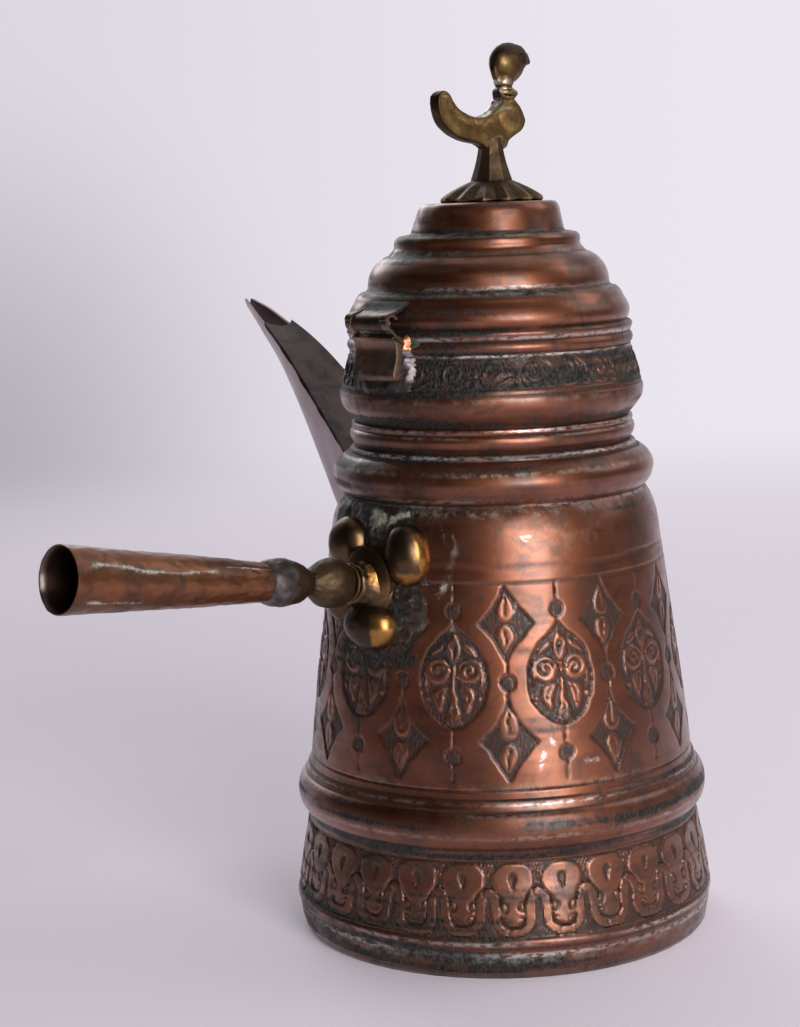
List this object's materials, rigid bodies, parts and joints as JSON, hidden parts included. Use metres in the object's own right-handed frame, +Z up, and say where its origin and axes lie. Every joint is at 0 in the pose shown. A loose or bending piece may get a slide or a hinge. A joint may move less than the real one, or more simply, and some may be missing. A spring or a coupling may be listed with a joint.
{
  "type": "coffee pot",
  "caption": "Side-handled copper coffee pot with a beak spout, brass socket handle, hinged domed lid and cast bird finial.",
  "frame": {"origin": "middle of the flat underside, on the pot's axis", "axes": "+Z up the pot's axis, -X towards the spout, -Y towards the handle and the lid hinge"},
  "size_m": [0.1874, 0.2331, 0.2796],
  "materials": {
    "copper": "worn and patinated sheet copper, engraved",
    "dark_copper": "darkened copper sheet",
    "brass": "worn cast brass",
    "dark_brass": "darkened cast brass",
    "steel": "tin solder grey, dull"
  },
  "bodies": {
    "pot": {"base_disc": "dark_copper", "foot_skirt": "copper", "waist_bead": "copper", "body_shell": "copper", "shoulder_bead": "copper", "neck_bead": "copper", "neck_shell": "copper", "neck_collar": "copper", "spout_trough": "dark_copper", "spout_cover": "dark_copper", "hinge_body_leaf": "copper", "hinge_pin": "steel", "handle_rosette": "brass", "handle_boss": "dark_brass", "handle_washer": "copper", "handle_baluster": "brass", "handle_ferrule": "steel", "handle_tube": "copper"},
    "lid": {"lid_shell": "copper", "lid_flange": "dark_copper", "hinge_lid_leaf": "copper", "finial_base": "dark_brass", "finial_bird": "brass", "finial_rivet": "dark_brass"}
  },
  "joints": [
    {"name": "lid_hinge", "type": "hinge", "parent": "pot", "child": "lid", "pos_m": [0, -0.0492, 0.1949], "axis": [1, 0, 0], "range_deg": [0, 105]}
  ]
}
